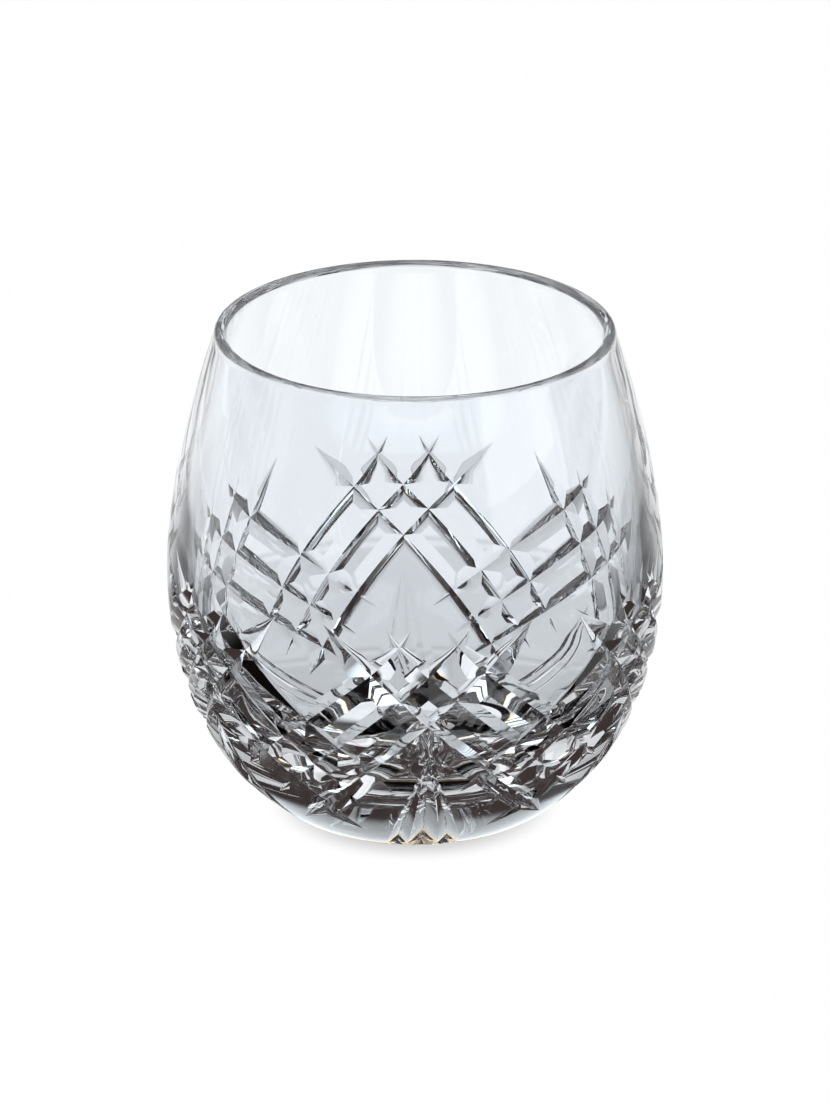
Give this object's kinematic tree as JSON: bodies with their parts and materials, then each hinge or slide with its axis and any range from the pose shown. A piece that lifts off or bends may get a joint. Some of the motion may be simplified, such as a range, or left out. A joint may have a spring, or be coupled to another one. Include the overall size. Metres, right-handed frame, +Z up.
{
  "type": "whiskey tumbler",
  "caption": "Barrel-shaped cut-crystal whiskey tumbler with a heavy base, a rounded polished lip, and crossed V cuts with fans of flutes round its lower half.",
  "frame": {"origin": "centre of the foot, on the surface that the tumbler stands on", "axes": "+Z up along the tumbler's axis, out of its mouth; -Y faces the middle of one crown of the cut pattern"},
  "size_m": [0.0872, 0.0874, 0.09],
  "materials": {
    "crystal": "clear, fire-polished inside and out, with acid-polished V cuts"
  },
  "bodies": {
    "root": {"tumbler": "crystal"}
  },
  "joints": []
}
